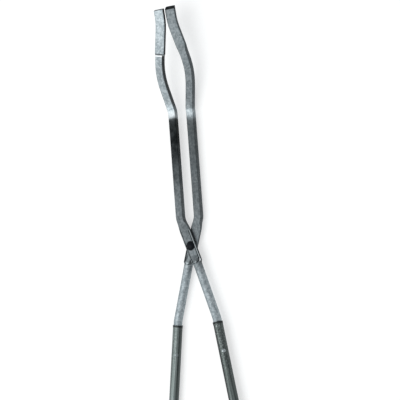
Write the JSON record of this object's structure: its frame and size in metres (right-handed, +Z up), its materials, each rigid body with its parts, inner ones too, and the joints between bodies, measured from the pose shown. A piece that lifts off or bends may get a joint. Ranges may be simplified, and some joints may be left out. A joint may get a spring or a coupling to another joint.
{
  "type": "raku tongs",
  "caption": "Long two-handed tongs of crossed formed steel tubes, with bowed jaws, a bolted pivot and riveted handle tubes.",
  "frame": {"origin": "on the pivot's axis, at the end of the pivot bolt's shank, level with the surface that the tongs lie on", "axes": "+Y from the pivot towards the jaws along the centre line of the closed tongs, +Z up along the pivot bolt towards its head, +X towards the rear arm's jaw"},
  "size_m": [0.1688, 0.7612, 0.045],
  "materials": {
    "plated_tube": "zinc plated, worn and darkened towards the reach",
    "handle_tube": "dark semi-gloss",
    "black_bolt": "black oxide, satin",
    "bright_steel": "zinc plated, satin",
    "nylon": "matte",
    "end_rubber": "matte"
  },
  "bodies": {
    "front": {"front_arm": "plated_tube", "pivot_bolt": "black_bolt", "spacer_washer": "bright_steel", "rear_washer": "bright_steel", "lock_nut": "bright_steel", "nut_insert": "nylon", "front_handle_tube": "handle_tube", "front_handle_rivet": "bright_steel", "front_end_plug": "end_rubber"},
    "rear": {"rear_arm": "plated_tube", "rear_handle_tube": "handle_tube", "rear_handle_rivet": "bright_steel", "rear_end_plug": "end_rubber"}
  },
  "joints": [
    {"name": "pivot", "type": "hinge", "parent": "front", "child": "rear", "pos_m": [0, 0, 0.00797], "axis": [0, 0, -1], "range_deg": [0, 40]}
  ]
}
